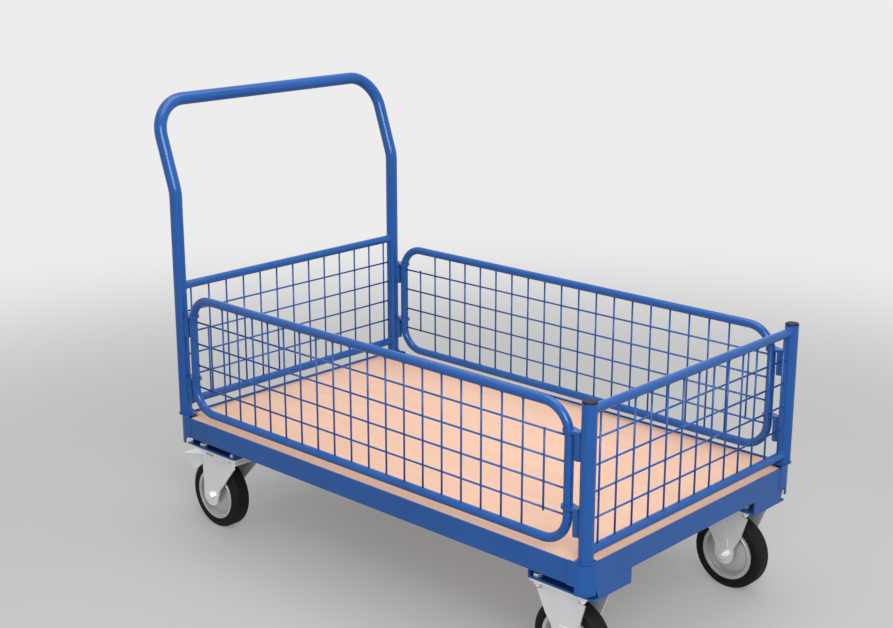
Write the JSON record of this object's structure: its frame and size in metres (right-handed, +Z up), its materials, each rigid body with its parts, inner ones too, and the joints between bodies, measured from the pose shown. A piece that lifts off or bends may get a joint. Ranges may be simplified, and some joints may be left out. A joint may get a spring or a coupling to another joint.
{
  "type": "platform trolley",
  "caption": "Four-sided platform trolley: wood deck in a painted steel frame, bent tube push handle, wire mesh end panels, lift-out side panels, fixed front castors and braked swivel castors.",
  "frame": {"origin": "on the floor, under the middle of the trolley's outer box", "axes": "+X towards the front end, away from the handle; +Y towards the far long side; +Z up"},
  "size_m": [1.2404, 0.693, 0.991],
  "materials": {
    "blue_paint": "satin powder coat",
    "deck_board": "sealed beech",
    "zinc_steel": "bright zinc",
    "rim_steel": "pressed zinc steel",
    "tyre_rubber": "matt black",
    "cap_plastic": "matt"
  },
  "bodies": {
    "chassis": {"castor_bolts": "zinc_steel", "castor_nuts": "zinc_steel", "deck_bearers": "blue_paint", "deck_board": "deck_board", "deck_screws": "zinc_steel", "far_side_rail": "blue_paint", "front_axle_fasteners": "zinc_steel", "front_axle_spacers": "zinc_steel", "front_bottom_tube": "blue_paint", "front_castor_brackets": "blue_paint", "front_end_rail": "blue_paint", "front_far_castor": "zinc_steel", "front_far_corner": "blue_paint", "front_far_post": "blue_paint", "front_mesh": "blue_paint", "front_near_castor": "zinc_steel", "front_near_corner": "blue_paint", "front_near_post": "blue_paint", "front_top_tube": "blue_paint", "handle_bottom_tube": "blue_paint", "handle_mesh": "blue_paint", "handle_top_tube": "blue_paint", "handle_tube": "blue_paint", "hook_sleeves": "blue_paint", "king_pins": "zinc_steel", "near_side_rail": "blue_paint", "post_bolts": "zinc_steel", "post_caps": "cap_plastic", "post_feet": "blue_paint", "rear_castor_brackets": "blue_paint", "rear_end_rail": "blue_paint", "rear_far_corner": "blue_paint", "rear_far_plate": "zinc_steel", "rear_near_corner": "blue_paint", "rear_near_plate": "zinc_steel"},
    "near_panel": {"near_panel_frame": "blue_paint", "near_panel_mesh": "blue_paint", "near_panel_hooks": "blue_paint"},
    "far_panel": {"far_panel_frame": "blue_paint", "far_panel_mesh": "blue_paint", "far_panel_hooks": "blue_paint"},
    "front_near_wheel": {"front_near_tyre": "tyre_rubber", "front_near_rim": "rim_steel"},
    "rear_near_swivel": {"rear_near_fork": "zinc_steel", "rear_near_balls": "zinc_steel", "rear_near_axle_fasteners": "zinc_steel", "rear_near_axle_spacer": "zinc_steel"},
    "rear_near_wheel": {"rear_near_tyre": "tyre_rubber", "rear_near_rim": "rim_steel"},
    "rear_near_brake": {"rear_near_pedal": "zinc_steel"},
    "front_far_wheel": {"front_far_tyre": "tyre_rubber", "front_far_rim": "rim_steel"},
    "rear_far_swivel": {"rear_far_fork": "zinc_steel", "rear_far_balls": "zinc_steel", "rear_far_axle_fasteners": "zinc_steel", "rear_far_axle_spacer": "zinc_steel"},
    "rear_far_wheel": {"rear_far_tyre": "tyre_rubber", "rear_far_rim": "rim_steel"},
    "rear_far_brake": {"rear_far_pedal": "zinc_steel"}
  },
  "joints": [
    {"name": "near_panel_lift", "type": "slide", "parent": "chassis", "child": "near_panel", "axis": [0, 0, 1], "range_m": [0, 0.055]},
    {"name": "far_panel_lift", "type": "slide", "parent": "chassis", "child": "far_panel", "axis": [0, 0, 1], "range_m": [0, 0.055]},
    {"name": "front_near_wheel_spin", "type": "hinge", "parent": "chassis", "child": "front_near_wheel", "pos_m": [0.53075, -0.268, 0.08], "axis": [0, 1, 0], "continuous": true},
    {"name": "rear_near_swivel_turn", "type": "hinge", "parent": "chassis", "child": "rear_near_swivel", "pos_m": [-0.45675, -0.268, 0.18], "axis": [0, 0, 1], "continuous": true},
    {"name": "rear_near_wheel_spin", "type": "hinge", "parent": "rear_near_swivel", "child": "rear_near_wheel", "pos_m": [-0.50475, -0.268, 0.08], "axis": [0, 1, 0], "continuous": true},
    {"name": "rear_near_brake_press", "type": "hinge", "parent": "rear_near_swivel", "child": "rear_near_brake", "pos_m": [-0.51875, -0.268, 0.167], "axis": [0, -1, 0], "range_deg": [0, 8]},
    {"name": "front_far_wheel_spin", "type": "hinge", "parent": "chassis", "child": "front_far_wheel", "pos_m": [0.53075, 0.268, 0.08], "axis": [0, 1, 0], "continuous": true},
    {"name": "rear_far_swivel_turn", "type": "hinge", "parent": "chassis", "child": "rear_far_swivel", "pos_m": [-0.45675, 0.268, 0.18], "axis": [0, 0, 1], "continuous": true},
    {"name": "rear_far_wheel_spin", "type": "hinge", "parent": "rear_far_swivel", "child": "rear_far_wheel", "pos_m": [-0.50475, 0.268, 0.08], "axis": [0, 1, 0], "continuous": true},
    {"name": "rear_far_brake_press", "type": "hinge", "parent": "rear_far_swivel", "child": "rear_far_brake", "pos_m": [-0.51875, 0.268, 0.167], "axis": [0, -1, 0], "range_deg": [0, 8]}
  ]
}
